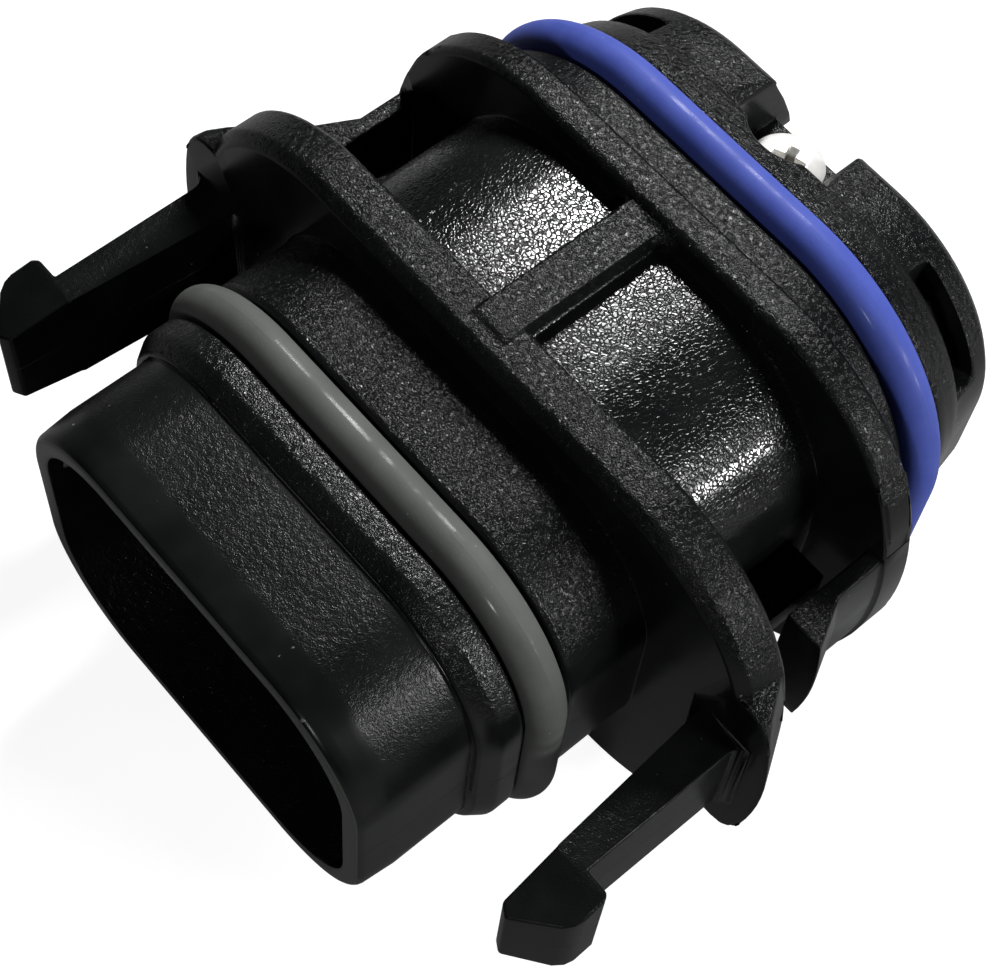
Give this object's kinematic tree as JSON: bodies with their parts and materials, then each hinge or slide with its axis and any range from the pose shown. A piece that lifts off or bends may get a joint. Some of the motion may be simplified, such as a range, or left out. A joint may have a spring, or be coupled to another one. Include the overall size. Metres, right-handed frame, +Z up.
{
  "type": "ac cable connector",
  "caption": "Black moulded AC cable connector with an oblong latching socket, grey and blue ring seals, a panel flange with snap fingers and a screwed-in contact carrier.",
  "frame": {"origin": "on the plug axis, in the plane of the front flange's rear face, where the panel seats", "axes": "+X along the long axis, +Y along the plug axis from the mouth to the tail, +Z up to the key rib"},
  "size_m": [0.0482, 0.0452, 0.0292],
  "materials": {
    "housing_nylon": "spark-eroded satin",
    "seal_grey": "satin silicone",
    "seal_blue": "satin silicone",
    "carrier_nylon": "matte",
    "seal_red": "satin silicone",
    "contact_metal": "satin",
    "screw_metal": "bright nickel"
  },
  "bodies": {
    "root": {"housing": "housing_nylon", "front_seal": "seal_grey", "rear_seal": "seal_blue", "carrier": "carrier_nylon", "carrier_seal": "seal_red", "contact_line": "contact_metal", "contact_earth": "contact_metal", "contact_neutral": "contact_metal", "screw": "screw_metal"}
  },
  "joints": []
}
